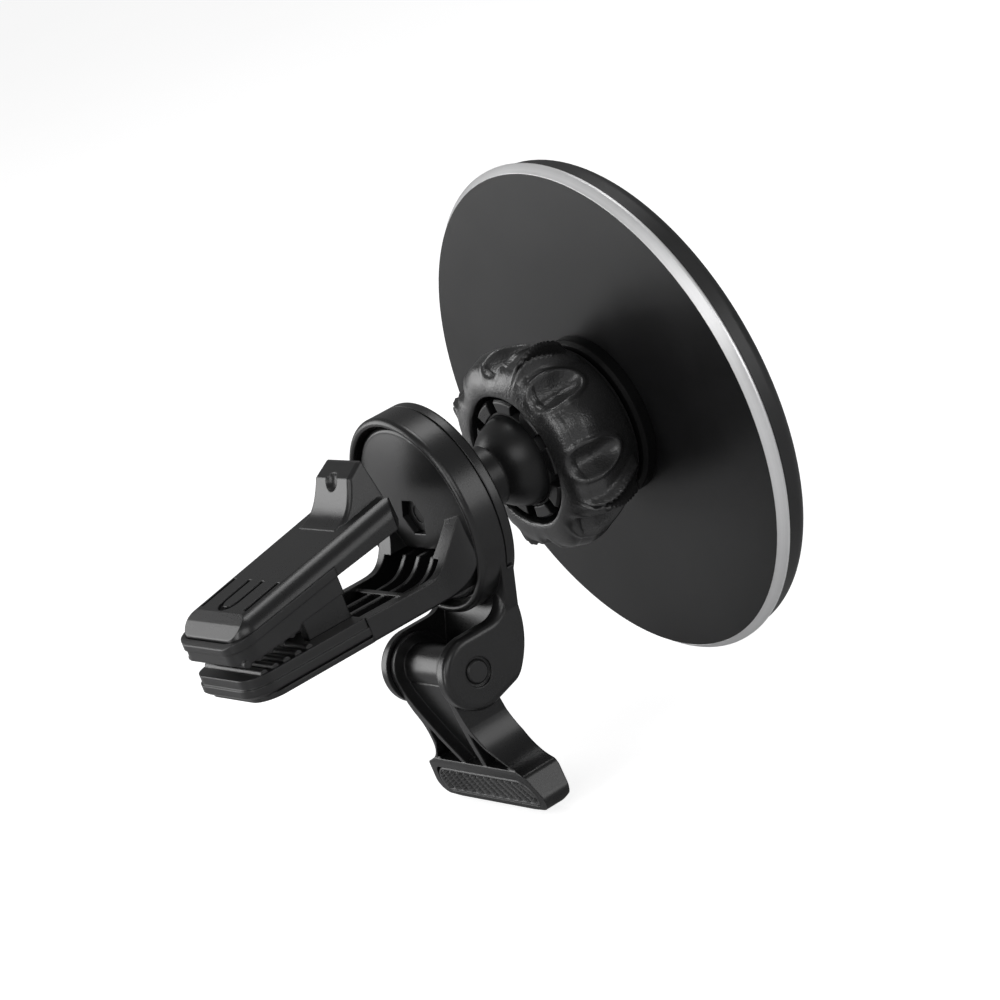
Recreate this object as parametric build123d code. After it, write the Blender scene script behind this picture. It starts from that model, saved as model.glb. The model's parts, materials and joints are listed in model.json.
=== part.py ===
"""Car phone mount: a magnetic plate on a ball joint, carried by a sprung vent clip with a swing-out foot.

Each function makes one sub-part about the drum axis: +Y runs from the phone plate to the clip's tip,
+Z is up, and y = 0 is the plate's back face. At export everything is shifted so that the origin is the
middle of the clip's grip.
"""

import os

from build123d import *

# --- fits ---
RUNNING = 0.05  # radial gap of a shaft that turns in a hole
SNUG = 0.02  # radial gap of a shaft that stays put
GAP = 0.15  # gap between faces that move past each other

# --- phone plate, revolved about Y ---
PLATE_R = 29.2  # edge of the flat back face
TRIM_R = 30.0  # crest of the bright trim ring
TRIM_CREST_Y = -0.93
TRIM_FRONT_Y = -1.6
BACK_T = 1.2
BEZEL_R = 29.5
BEZEL_FRONT_Y = -4.4
BEZEL_ROUND = 1.4
BEZEL_WALL = 1.3
PLATE_CAVITY_FRONT_Y = -3.5
GRIP_DISC_R = 26.8
GRIP_DISC_T = 0.5
GRIP_GROOVE_R = 22.4
MAGNET_IN_R = 22.9
MAGNET_OUT_R = 27.0
MAGNET_COUNT = 16
MAGNET_T = 1.4
YOKE_T = 0.4
CARRIER_WALL = 0.7

# --- ball joint ---
BALL_Y = 11.56
BALL_R = 5.45
LINER_T = 0.25
CAVITY_R = BALL_R + LINER_T + 2 * RUNNING
NECK_R = 3.6
NECK_WAIST_R = 2.9
NECK_FRONT_Y = 16.3
COLLAR_R = 9.6  # flange of the socket on the plate
COLLAR_T = 1.7
BARREL_R = 7.0  # outside of the socket's threaded barrel
FINGER_TIP_Y = 12.3
FINGER_R = 7.3
SLOT_W = 1.7
SLOT_ROOT_Y = 6.6
FINGER_COUNT = 9
PLATE_SCREW_COUNT = 3
PLATE_SCREW_PCR = 6.1
PLATE_SCREW_R = 0.9
PLATE_SCREW_HEAD_R = 1.75

# --- clamp nut ---
NUT_REAR_Y = 2.05
NUT_FRONT_Y = 12.6
NUT_REAR_R = 8.95
NUT_BELLY_R = 11.2
NUT_BELLY_Y = 8.4
NUT_SHOULDER_R = 10.7
NUT_SHOULDER_Y = 11.2
NUT_LIP_R = 7.8
NUT_THREAD_R = BARREL_R + RUNNING
NUT_THREAD_END_Y = 6.2
NUT_LOBES = 8
NUT_LOBE_PHASE = 41.0
CLAMP_RING_REAR_Y = 6.6
CLAMP_RING_FRONT_Y = 8.6

# --- drum ---
DRUM_R = 11.8
DRUM_REAR_Y = 22.2
CAP_FRONT_Y = 23.45
RING_REAR_Y = CAP_FRONT_Y + GAP
RING_FLOOR_Y = 24.5
RING_WALL_Y = 26.2
LIP_Y = 27.0
LIP_R = 10.9
LIP_CREST_R = 11.3
HUB_R = 4.2
DISC_REAR_Y = 24.75
DISC_R = 10.45
DISC_EDGE_Y = 26.35
DOME_Y = 26.95
NUT_AF = 4.0
NUT_POCKET_Y = 24.6
HEX_NUT_T = 1.6
SHANK_R = 1.0

# --- lower arm ---
ARM_HALF = 7.0
ARM_BOTTOM_Z = -8.0
ARM_TOP_Z = -5.3
ARM_CROWN_Z = 0.3  # where the arm's top runs out into the dome
RECESS_TOP_Z = -3.8  # where the channel cuts into the dome
CROWN_LOW_HALF = 4.4
CROWN_TOP_HALF = 6.45
ARM_FLARE_HALF = 9.3
ARM_FLARE_END_Y = 31.0
ARM_WALL = 1.2
ARM_FLOOR_Z = -7.0
RIB_PITCH = 3.0
RIB_W = 0.7
CROSS_RIB_Y = 33.7
CROSS_RIB_TOP_Z = -5.8
PAD_SEAM_Y = 40.3
LOW_TIP_Y = 55.8
LOW_PAD_TOP_Z = -5.1
LOW_PAD_BOTTOM_Z = -7.4
BAND_Z = -6.2  # height of the step round the lower pad
BAND_STEP = 0.2
BAND_CHAMFER = 0.35
TIP_CORNER_R = 3.0
PAD_T = 0.7
GRIP_RIDGE_R = 0.45
GRIP_RIDGE_PITCH = 1.5
GRIP_RIDGE_COUNT = 5
GRIP_RIDGE_START_Y = 47.4

# --- jaw pivot ---
PIVOT_Y = 43.3
PIVOT_Z = -0.1
PIVOT_PIN_R = 0.75
PIVOT_PIN_HALF = 5.9
LUG_IN = 2.7
LUG_OUT = 4.0
LUG_R = 1.6
LUG_FRONT_Y = 46.0
SPRING_COIL_R = 1.35
SPRING_WIRE_R = 0.25
SPRING_TURNS = 6
SPRING_PITCH = 0.75

# --- upper jaw ---
JAW_HALF = 7.0
JAW_REAR_Y = 31.3
JAW_SLOPE = -0.194  # fall of the top face for each mm of Y
JAW_TOP_REF_Y = 38.5
JAW_TOP_REF_Z = 4.15
JAW_SHOULDER_R = 2.1
JAW_TILT = -10.98  # the same slope in degrees
JAW_BAR_FRONT_Y = 55.7
BAR_DEPTH = 12.0
JAW_TIP_TOP_Y = 52.6
JAW_TIP_BREAK = (53.8, 0.6)
JAW_TIP = (55.4, -0.8)
JAW_WALL = 1.2
BOOT_REAR_Y = 41.45
BOOT_SEAM_REAR_Z = 1.55
BOOT_TIP_Y = 56.05
BOOT_TIP_TOP_Z = -1.2
BOOT_TIP_BOTTOM_Z = -3.4
BOOT_REAR_BOTTOM_Z = -1.5
BOOT_INSET = 0.7
BOOT_BAND = 0.9  # width of the band below the seam
BOOT_STEP = 0.2
TAB_HALF = 3.6
TAB_BASE_HALF = 4.3
TAB_TOP_Z = 9.45
TAB_ROUND = 0.5
DIMPLE_R = 1.5
SLOT_DEPTH = 0.45
SLOT_HALF_X = 4.85
SLOT_REAR_Y = 47.2
SLOT_FRONT_Y = 52.2
SLOT_WIDTH = 0.7
U_HALF_X = 1.45

# --- foot bracket and foot ---
PIN_Y = 30.26
PIN_Z = -16.7
PIN_R = 1.35
EAR_R = 4.3
EAR_HALF = 7.15
EAR_IN = 5.45
EAR_ROUND = 0.8
THROAT_R = 2.6
PIN_GROOVE = 0.35
WEB_REAR_Y = 22.7
WEB_FRONT_Y = 24.3
WEB_TOP_HALF = 10.1
WEB_TOP_Z = -6.0
WEB_KNEE_Z = -12.3
LEG_HALF = EAR_IN - GAP
BARREL_LEG_R = 3.8
LEG_WAIST_HALF = 5.0
LEG_WAIST_Z = -22.6
RAIL_W = 0.8
RAIL_FOOT_X = 1.7
WALL_W = 0.8
WEB_SINK = 1.3
WINDOW_FLOOR_Y = 28.9
FOOT_HALF = 11.9
FOOT_TOP_HALF = 10.0
FOOT_SAG = 0.5  # how much lower the sole is at its middle
FOOT_END_R = 1.5
FOOT_SHOULDER_R = 0.8
FOOT_SIDE_Z = -32.6
FOOT_TOP_Y = 31.5
FOOT_LOW_Y = 30.4
FOOT_TOE_Y = 28.9
FOOT_REAR_Y = 26.9
FOOT_TOP_Z = -28.7
FOOT_BOTTOM_Z = -33.6
FOOT_PAD_LEAN = 12.9
FOOT_PAD_HALF = 10.7
FOOT_PAD_TOP_HALF = 9.2
FOOT_PAD_CORNER = 1.2
FOOT_PAD_H = 3.5
FOOT_PAD_T = 1.1
FOOT_PAD_Y = 30.67
FOOT_PAD_Z = -31.1

# --- origin ---
GRIP_Y = 50.0
GRIP_Z = -4.1

# --- allowances and edges used all over ---
OVERLAP = 0.1  # joined pieces run into each other by this
BREAK = 0.2  # usual broken edge
EDGE = 0.3  # usual small rounding or step
HAIR = 0.05  # smallest setback
NIP = 0.15  # small pull-in at a corner
EASE = 0.35  # easing of a long edge
LAND = 0.6  # short straight land
CHAMFER = 0.4  # usual chamfer
FILM = 0.03  # air film between stacked faces
FAR = 20.0  # reach of a bounding prism
BEYOND = 40.0  # a depth past every foot and jaw
TALL = 12.0  # a height past the arm

# --- outline points: Y towards the jaw tips, Z up, HALF and X across ---
# leg outline
SHANK_SHOULDER_Z = -20.0
FLARE_MID_HALF = 6.5
FLARE_MID_Z = -26.5
SHANK_FRONT_Y = 33.3
SHANK_HIGH_Z = -21.0
SHANK_MID_Y = 32.35
SHANK_MID_Z = -24.8
SHANK_LOW_Z = -29.4
SHANK_REAR_Y = 27.1
SHANK_NAPE_Y = 28.0
# bracket ears and slot
HEEL_Y = 26.3
HEEL_Z = -20.0
EAR_BACK_Y = 23.75
EAR_BACK_Z = -16.6
NECK_RISE = 1.5
SLOT_TOP_Z = -5
SLOT_NECK_Z = -11.4
SLOT_BACK_Y = 26.1
SLOT_BEND_Z = -16.2
SLOT_LOW_Z = -26
SLOT_OUT_Y = 37
# leg rails and windows
RAIL_TOP_Z = -11
RAIL_BEND_Z = -19.6
RAIL_INNER_BEND_Z = -19.0
WALL_TOP_Z = -19.8
WINDOW_TOP_X = 4.45
WINDOW_TOP_Z = -23.6
WINDOW_MID_X = 5.3
WINDOW_MID_Z = -25.6
WINDOW_LOW_X = 7.7
WINDOW_LOW_Z = -28.0
# arm crown, flare, lugs and channel
CROWN_BACK = 0.45
CROWN_END_Y = 33.4
CROWN_DIP_Y = 28.3
CROWN_DIP_Z = -2.8
CROWN_SAG_Y = 30.2
CROWN_SAG_Z = -4.85
FLARE_BACK = 0.7
FLARE_BULGE = 0.55
FLARE_AHEAD = 1.2
DISC_NIP = 0.17
DISC_SAG = 0.13
LUG_SHOULDER_Z = -2.6
RIB_DROP = 0.75
CHANNEL_REAR_Y = 25.9
CHANNEL_STEP_Z = -5.2
CHANNEL_BEND_Y = 26.6
CHANNEL_BEND_Z = -6.4
CHANNEL_FLOOR_Y = 28.4
CHANNEL_OPEN_Y = 29
# upper jaw, thumb tab and hollow
JAW_HEEL_Z = 2.1
JAW_HEEL_LOW_Z = 1.85
JAW_HEEL_STEP = 0.8
JAW_CLEAR = 9
TAB_FOOT_Y = 38.4
TAB_BACK_Y = 31.3
TAB_BASE_Z = 3.2
TAB_CREST_BACK_Y = 32.2
TAB_CREST_Y = 32.6
TAB_FACE_Y = 34.45
TAB_FACE_Z = 8.35
TAB_CURVE_Y = 35.6
TAB_CURVE_Z = 6.15
TAB_FACE_RUN = 0.45
DIMPLE_Y = 35.3
DIMPLE_Z = 8.5
TAB_ROUND_FROM_Y = 33.0
TAB_ROUND_FROM_Z = 4.5
HOLLOW_REAR_Y = 33.0
HOLLOW_REAR_Z = 3.9
HOLLOW_MID_Y = 38.0
HOLLOW_MID_Z = 2.9
HOLLOW_FRONT_Y = 46.6
HOLLOW_FRONT_Z = 1.2
HOLLOW_LOW_Z = -5
# upper boot
BOOT_BEND_Y = 47.4
BOOT_BEND_Z = -2.2
BITE_START_Y = 47.9
BITE_START_Z = -2.75
BITE_END_Y = 54.8
RIDGE_OFFSET = 0.9
JAW_WINDOW_HALF = 6
JAW_REAR_CUT = 1.5
# ball stud, nut and socket details
SHANK_SEAT_Y = 14.0
STUD_REAR_Y = 14.2
LIP_NIP = 0.14
LIP_STEP = 0.25
WASHER_R = 8.6
LINER_BACK = 1.6
THREAD_RELIEF = 2.4
FINGER_TAPER = 1.2
NUT_SHOULDER_BACK = 0.7
SCOOP_LENGTH = 14
HEX_SIDES = 6
REAR_CUT_RATIO = 1.3



def side_prism(face, half):
    """Extrude a (y, z) face to both sides of the middle plane."""
    return extrude(Plane.YZ * face, half, both=True)


def outline(*points):
    """A closed straight-sided face."""
    return make_face(Polyline(*points, close=True))


def block(x, y, z):
    """A box from its low and high limits along each axis."""
    size = (x[1] - x[0], y[1] - y[0], z[1] - z[0])
    middle = ((x[0] + x[1]) / 2, (y[0] + y[1]) / 2, (z[0] + z[1]) / 2)
    return Pos(*middle) * Box(*size)


def turned(*points):
    """Revolve a straight-sided (radius, y) outline about the Y axis."""
    return revolve(outline(*points), Axis.Y)


def rod_y(radius, low, high, x=0, z=0):
    """A cylinder along Y between two y values."""
    return Pos(x, (low + high) / 2, z) * Rot(90, 0, 0) * Cylinder(radius, high - low)


def rod_x(radius, low, high, y, z):
    """A cylinder along X between two x values."""
    return Pos((low + high) / 2, y, z) * Rot(0, 90, 0) * Cylinder(radius, high - low)


def around_y(shape, count, start=0.0):
    """Copies of a shape turned evenly about the Y axis."""
    return [Rot(0, start + 360 / count * i, 0) * shape for i in range(count)]


# ---------------------------------------------------------------- phone plate


def plate_back():
    """Flat back disc with holes for the socket's screws."""
    disc = rod_y(PLATE_R - SNUG, -BACK_T, 0)
    hole = rod_y(PLATE_SCREW_R + SNUG, -BACK_T, 0, x=PLATE_SCREW_PCR)
    return disc - around_y(hole, PLATE_SCREW_COUNT)


def trim_ring():
    """Bright bevelled ring round the plate's edge."""
    step_r = PLATE_R - 1.1
    land = 0.25
    return turned(
        (PLATE_R, 0),
        (TRIM_R, TRIM_CREST_Y),
        (TRIM_R, TRIM_CREST_Y - land),
        (BEZEL_R, TRIM_FRONT_Y),
        (step_r, TRIM_FRONT_Y),
        (step_r, -BACK_T - SNUG),
        (PLATE_R, -BACK_T - SNUG),
    )


def bezel():
    """Front shell: a shallow cup that closes the plate."""
    rear = TRIM_FRONT_Y - SNUG
    inner = BEZEL_R - BEZEL_WALL
    wall = Line((BEZEL_R, rear), (BEZEL_R, BEZEL_FRONT_Y + BEZEL_ROUND))
    turn = RadiusArc(wall @ 1, (BEZEL_R - BEZEL_ROUND, BEZEL_FRONT_Y), BEZEL_ROUND)
    rest = Polyline(
        turn @ 1,
        (0, BEZEL_FRONT_Y),
        (0, PLATE_CAVITY_FRONT_Y),
        (inner, PLATE_CAVITY_FRONT_Y),
        (inner, rear),
        wall @ 0,
    )
    return revolve(make_face([wall, turn, rest]), Axis.Y)


def grip_disc():
    """Soft disc that the phone touches, with one ring groove."""
    front = BEZEL_FRONT_Y - GRIP_DISC_T
    disc = rod_y(GRIP_DISC_R, front, BEZEL_FRONT_Y)
    disc = chamfer(disc.edges().group_by(Axis.Y)[0], GRIP_DISC_T / 2)
    groove_half = 0.3
    groove = rod_y(GRIP_GROOVE_R + groove_half, front, front + GRIP_DISC_T / 2)
    groove -= rod_y(GRIP_GROOVE_R - groove_half, front, front + GRIP_DISC_T / 2)
    return disc - groove


def magnet_carrier():
    """Two rings joined by a thin floor, which hold the magnets."""
    rear = -BACK_T - YOKE_T - 2 * SNUG
    front = PLATE_CAVITY_FRONT_Y + SNUG
    inner = MAGNET_IN_R - SNUG
    outer = MAGNET_OUT_R + SNUG
    floor = front + EDGE
    return turned(
        (inner - CARRIER_WALL, front),
        (outer + CARRIER_WALL, front),
        (outer + CARRIER_WALL, rear),
        (outer, rear),
        (outer, floor),
        (inner, floor),
        (inner, rear),
        (inner - CARRIER_WALL, rear),
    )


def ring_magnets():
    """Arc magnets set in a ring, each its own solid."""
    rear = -BACK_T - YOKE_T - 2 * SNUG
    front = rear - MAGNET_T
    full = rod_y(MAGNET_OUT_R, front, rear) - rod_y(MAGNET_IN_R, front, rear)
    split = 0.35
    reach = MAGNET_OUT_R + 1
    bar = block((0, reach), (front, rear), (-split / 2, split / 2))
    return full - around_y(bar, MAGNET_COUNT)


def yoke_ring():
    """Thin steel ring behind the magnets."""
    rear = -BACK_T - SNUG
    return rod_y(MAGNET_OUT_R, rear - YOKE_T, rear) - rod_y(MAGNET_IN_R, rear - YOKE_T, rear)


# ----------------------------------------------------------------- ball joint


def ball_socket():
    """Flanged barrel whose slotted end springs round the ball."""
    thread_end_y = SLOT_ROOT_Y
    body = turned(
        (0, 0),
        (COLLAR_R, 0),
        (COLLAR_R, COLLAR_T - CHAMFER),
        (COLLAR_R - CHAMFER, COLLAR_T),
        (BARREL_R, COLLAR_T),
        (BARREL_R, thread_end_y + THREAD_RELIEF),
        (FINGER_R, FINGER_TIP_Y - FINGER_TAPER),
        (FINGER_R, FINGER_TIP_Y - EDGE),
        (FINGER_R - EDGE, FINGER_TIP_Y),
        (0, FINGER_TIP_Y),
    )
    body -= Pos(0, BALL_Y, 0) * Sphere(CAVITY_R)
    slot = block((4.0, FINGER_R + 1), (SLOT_ROOT_Y, FINGER_TIP_Y + 1), (-SLOT_W / 2, SLOT_W / 2))
    body -= around_y(slot, FINGER_COUNT)
    pilot = rod_y(PLATE_SCREW_R + SNUG, -1, 3.2, x=PLATE_SCREW_PCR)
    return body - around_y(pilot, PLATE_SCREW_COUNT)


def plate_screws():
    """Pan-head screws that hold the socket on the plate's back, from inside."""
    head_t = 1.1
    tip_y = 3.0
    head = rod_y(PLATE_SCREW_HEAD_R, -BACK_T - head_t, -BACK_T, x=PLATE_SCREW_PCR)
    shank = rod_y(PLATE_SCREW_R, -BACK_T, tip_y, x=PLATE_SCREW_PCR)
    drive = 0.5
    cross = Pos(PLATE_SCREW_PCR, -BACK_T - head_t, 0) * Box(2 * drive, drive, EDGE)
    cross += Pos(PLATE_SCREW_PCR, -BACK_T - head_t, 0) * Box(EDGE, drive, 2 * drive)
    return Compound(around_y(head + shank - cross, PLATE_SCREW_COUNT))


def ball_zone(inner, outer, low_y, high_y):
    """The part of a spherical shell round the ball between two y values."""
    shell = Sphere(outer) - Sphere(inner)
    band = rod_y(outer + 1, low_y, high_y)
    return (Pos(0, BALL_Y, 0) * shell) & band


def ball_liner():
    """Friction band between the ball and the fingers."""
    return ball_zone(BALL_R + RUNNING, BALL_R + RUNNING + LINER_T, BALL_Y - LINER_BACK, BALL_Y + LAND)


def ball_seat():
    """Friction cup under the back of the ball."""
    return ball_zone(BALL_R + RUNNING, BALL_R + RUNNING + LINER_T, BALL_Y - BALL_R - 1, BALL_Y - 4.0)


def clamp_ring():
    """Keyed ring inside the nut that closes the fingers without turning."""
    ring = rod_y(NUT_LIP_R - OVERLAP, CLAMP_RING_REAR_Y, CLAMP_RING_FRONT_Y)
    return ring - rod_y(BARREL_R + RUNNING, CLAMP_RING_REAR_Y, CLAMP_RING_FRONT_Y)


def clamp_nut():
    """Scalloped hand nut round the socket."""
    rear = Line((NUT_THREAD_R, NUT_REAR_Y), (NUT_REAR_R, NUT_REAR_Y))
    belly = ThreePointArc(rear @ 1, (NUT_BELLY_R, NUT_BELLY_Y), (NUT_SHOULDER_R, NUT_SHOULDER_Y))
    shoulder = ThreePointArc(
        belly @ 1,
        (NUT_SHOULDER_R - NUT_SHOULDER_BACK, NUT_FRONT_Y - EASE),
        (NUT_LIP_R + NUT_SHOULDER_BACK, NUT_FRONT_Y),
    )
    ring_pocket_r = NUT_LIP_R - OVERLAP + RUNNING
    inside = Polyline(
        shoulder @ 1,
        (NUT_LIP_R, NUT_FRONT_Y - BREAK),
        (NUT_LIP_R, CLAMP_RING_FRONT_Y + RUNNING),
        (ring_pocket_r, CLAMP_RING_FRONT_Y + RUNNING),
        (ring_pocket_r, CLAMP_RING_REAR_Y - RUNNING),
        (NUT_THREAD_R, CLAMP_RING_REAR_Y - RUNNING),
        rear @ 0,
    )
    nut = revolve(make_face([rear, belly, shoulder, inside]), Axis.Y)
    scoop_r = 3.0
    scoop_depth = 0.75
    scoop = Pos(
        NUT_BELLY_R + scoop_r - scoop_depth,
        NUT_BELLY_Y + 0.5,
        0,
    ) * Rot(90, 0, 0) * Cylinder(scoop_r, SCOOP_LENGTH)
    return nut - around_y(scoop, NUT_LOBES, start=NUT_LOBE_PHASE)


def ball_stud():
    """Ball on a short neck that stands on the drum's rear cap."""
    ball = Pos(0, BALL_Y, 0) * Sphere(BALL_R)
    waist_y = 15.3
    neck = turned(
        (0, waist_y),
        (NECK_WAIST_R, waist_y),
        (NECK_WAIST_R, NECK_FRONT_Y - EDGE),
        (NECK_R, NECK_FRONT_Y),
        (NECK_R, DRUM_REAR_Y - LAND),
        (NECK_R + LAND, DRUM_REAR_Y),
        (0, DRUM_REAR_Y),
    )
    return ball + neck - rod_y(SHANK_R + SNUG, SHANK_SEAT_Y, DRUM_REAR_Y)


def stud_screw():
    """Threaded shank moulded into the ball stud; it draws the drum together."""
    return rod_y(SHANK_R, STUD_REAR_Y, NUT_POCKET_Y + HEX_NUT_T - OVERLAP)


# ----------------------------------------------------------------------- drum


def drum_cap():
    """Thin rear cover of the drum."""
    cap = rod_y(DRUM_R, DRUM_REAR_Y, CAP_FRONT_Y)
    cap = fillet(cap.edges().group_by(Axis.Y)[0], EASE)
    return cap - rod_y(SHANK_R + SNUG, DRUM_REAR_Y, CAP_FRONT_Y)


def hex_prism(across_flats, low, high):
    """A hexagonal bar along Y with a corner at each side."""
    face = Plane.XZ * RegularPolygon(across_flats / 2, HEX_SIDES, major_radius=False, rotation=0)
    bar = extrude(face, high - low)
    return Pos(0, high, 0) * bar


def hex_nut():
    """Steel nut held in the clip's hexagonal pocket."""
    nut = hex_prism(NUT_AF - OVERLAP, NUT_POCKET_Y, NUT_POCKET_Y + HEX_NUT_T)
    return nut - rod_y(SHANK_R + SNUG, NUT_POCKET_Y, NUT_POCKET_Y + HEX_NUT_T)


def friction_washer():
    """Thin washer between the foot ring and the clip's disc."""
    rear = RING_FLOOR_Y + FILM
    front = DISC_REAR_Y - FILM
    return rod_y(WASHER_R, rear, front) - rod_y(HUB_R + CHAMFER, rear, front)


def foot_ring():
    """Shallow cup that turns between the rear cap and the clip's disc."""
    wall = Polyline(
        (HUB_R + RUNNING, RING_REAR_Y),
        (DRUM_R, RING_REAR_Y),
        (DRUM_R, RING_WALL_Y),
    )
    lip = ThreePointArc(wall @ 1, (DRUM_R - LIP_NIP, LIP_Y - LIP_STEP), (LIP_CREST_R, LIP_Y))
    inside = Polyline(
        lip @ 1,
        (LIP_R + NIP, LIP_Y),
        (LIP_R, LIP_Y - NIP),
        (LIP_R, RING_FLOOR_Y),
        (HUB_R + RUNNING, RING_FLOOR_Y),
        wall @ 0,
    )
    return revolve(make_face([wall, lip, inside]), Axis.Y)


def bracket_web():
    """Tapered web that hangs from the foot ring down to the two ears."""
    face = Plane.XZ * outline(
        (-WEB_TOP_HALF, WEB_TOP_Z),
        (WEB_TOP_HALF, WEB_TOP_Z),
        (EAR_HALF, WEB_KNEE_Z),
        (EAR_HALF, WEB_KNEE_Z - BREAK),
        (-EAR_HALF, WEB_KNEE_Z - BREAK),
        (-EAR_HALF, WEB_KNEE_Z),
    )
    web = Pos(0, WEB_FRONT_Y, 0) * extrude(face, WEB_FRONT_Y - WEB_REAR_Y)
    return web - rod_y(DRUM_R - 0.5, WEB_REAR_Y, WEB_FRONT_Y)


def bracket_ears():
    """Block of the two ears, rounded on its outer faces, before the foot's slot is cut."""
    top = PIN_Z + EAR_R - OVERLAP
    heel = (HEEL_Y, HEEL_Z)
    sole = Line((PIN_Y - LAND, PIN_Z - EAR_R + FILM), heel)
    rear = ThreePointArc(heel, (EAR_BACK_Y, EAR_BACK_Z), (WEB_REAR_Y, WEB_KNEE_Z))
    neck_z = top + THROAT_R
    neck = Polyline(
        rear @ 1,
        (WEB_REAR_Y, neck_z + NECK_RISE),
        (WEB_FRONT_Y, neck_z + NECK_RISE),
        (WEB_FRONT_Y, neck_z),
    )
    throat = RadiusArc(neck @ 1, (WEB_FRONT_Y + THROAT_R, top), -THROAT_R)
    brow = Line(throat @ 1, (PIN_Y, top))
    nose = ThreePointArc(brow @ 1, (PIN_Y + EAR_R, PIN_Z), sole @ 0)
    ears = side_prism(make_face([sole, rear, neck, throat, brow, nose]), EAR_HALF)
    outer = [e for e in ears.edges() if abs(abs(e.center().X) - EAR_HALF) < SNUG]
    ahead = [e for e in outer if e.center().Y > WEB_FRONT_Y - SNUG]
    return fillet([e for e in ahead if e.center().Y > PIN_Y - 4 or e.center().Z > PIN_Z], EAR_ROUND)


def foot_bracket():
    """Foot ring, web and ears in one piece, slotted for the foot."""
    slot = outline(
        (WEB_FRONT_Y, SLOT_TOP_Z),
        (WEB_FRONT_Y + OVERLAP, SLOT_NECK_Z),
        (SLOT_BACK_Y, SLOT_BEND_Z),
        (SLOT_BACK_Y, SLOT_LOW_Z),
        (SLOT_OUT_Y, SLOT_LOW_Z),
        (SLOT_OUT_Y, SLOT_TOP_Z),
    )
    hanger = bracket_web() + bracket_ears() - side_prism(slot, EAR_IN)
    hanger -= rod_y(LIP_R, WEB_FRONT_Y, LIP_Y + 5)
    body = foot_ring() + hanger
    for s in (-1, 1):
        ends = sorted((s * (EAR_HALF - PIN_GROOVE), s * (EAR_HALF + 1)))
        body -= rod_x(PIN_R + PIN_GROOVE, ends[0], ends[1], PIN_Y, PIN_Z)
    body -= rod_y(DRUM_R + GAP, WEB_REAR_Y - 1, RING_REAR_Y)
    body -= rod_y(LIP_R, RING_FLOOR_Y, LIP_Y + 1)
    return body - rod_x(PIN_R + SNUG, -EAR_HALF - 1, EAR_HALF + 1, PIN_Y, PIN_Z)


def foot_pin():
    """Hinge pin of the foot, flush with both ears."""
    pin = rod_x(PIN_R, -EAR_HALF + HAIR, EAR_HALF - HAIR, PIN_Y, PIN_Z)
    return chamfer(pin.edges(), BREAK)


def leg_outline():
    """Front view of the foot as a deep prism: barrel, waist, flare, and a widening sole with round ends."""
    top_z = PIN_Z + BARREL_LEG_R + 1
    low_z = FOOT_BOTTOM_Z - OVERLAP
    right = Polyline((0, top_z), (LEG_HALF, top_z), (LEG_HALF, SHANK_SHOULDER_Z), (LEG_WAIST_HALF, LEG_WAIST_Z))
    flare = ThreePointArc(right @ 1, (FLARE_MID_HALF, FLARE_MID_Z), (FOOT_TOP_HALF, FOOT_TOP_Z))
    side = Line(flare @ 1, (FOOT_HALF, low_z + FOOT_SAG))
    sole = ThreePointArc(side @ 1, (FOOT_HALF / 2, low_z + FOOT_SAG / 4), (0, low_z))
    half = make_face([right, flare, side, sole, Line(sole @ 1, right @ 0)])
    ends = half.vertices().sort_by(Axis.X)
    half = fillet(ends[-1], FOOT_END_R)
    half = fillet(half.vertices().filter_by(lambda v: abs(v.X - FOOT_TOP_HALF) < HAIR), FOOT_SHOULDER_R)
    solid = Pos(0, PIN_Y, 0) * extrude(Plane.XZ * half, FAR, both=True)
    return solid + mirror(solid, Plane.YZ)


def leg_side_face(sink):
    """Side view of the foot: barrel, leaning shank and sole, with the front sunk by some depth."""
    shank = outline(
        (PIN_Y + BARREL_LEG_R - OVERLAP - sink, PIN_Z - 1),
        (SHANK_FRONT_Y - sink, SHANK_HIGH_Z),
        (SHANK_MID_Y - sink, SHANK_MID_Z),
        (FOOT_TOP_Y - NIP - sink, FOOT_TOP_Z + 0.5),
        (FOOT_TOP_Y - HAIR, FOOT_TOP_Z + 0.5),
        (FOOT_TOP_Y, FOOT_TOP_Z),
        (FOOT_LOW_Y, FOOT_BOTTOM_Z + OVERLAP),
        (FOOT_TOE_Y, FOOT_BOTTOM_Z - OVERLAP),
        (FOOT_REAR_Y + 0.5, FOOT_SIDE_Z),
        (FOOT_REAR_Y, SHANK_LOW_Z),
        (SHANK_REAR_Y, FLARE_MID_Z + 1),
        (SHANK_NAPE_Y, SHANK_HIGH_Z),
        (PIN_Y - BARREL_LEG_R + sink + NIP, PIN_Z - 1),
    )
    return shank + Pos(PIN_Y, PIN_Z) * Circle(BARREL_LEG_R - sink)


def rail_prism():
    """Plan of the two rails and the outer walls, seen from the front."""
    prisms = []
    for s in (-1, 1):
        x_top = s * (LEG_HALF - RAIL_W)
        rail = outline(
            (s * LEG_HALF, RAIL_TOP_Z),
            (s * LEG_HALF, RAIL_BEND_Z),
            (s * (RAIL_FOOT_X + RAIL_W), FOOT_TOP_Z),
            (s * RAIL_FOOT_X, FOOT_TOP_Z),
            (x_top, RAIL_INNER_BEND_Z),
            (x_top, RAIL_TOP_Z),
        )
        prisms.append(Pos(0, PIN_Y, 0) * extrude(Plane.XZ * rail, FAR, both=True))
    return prisms


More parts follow.
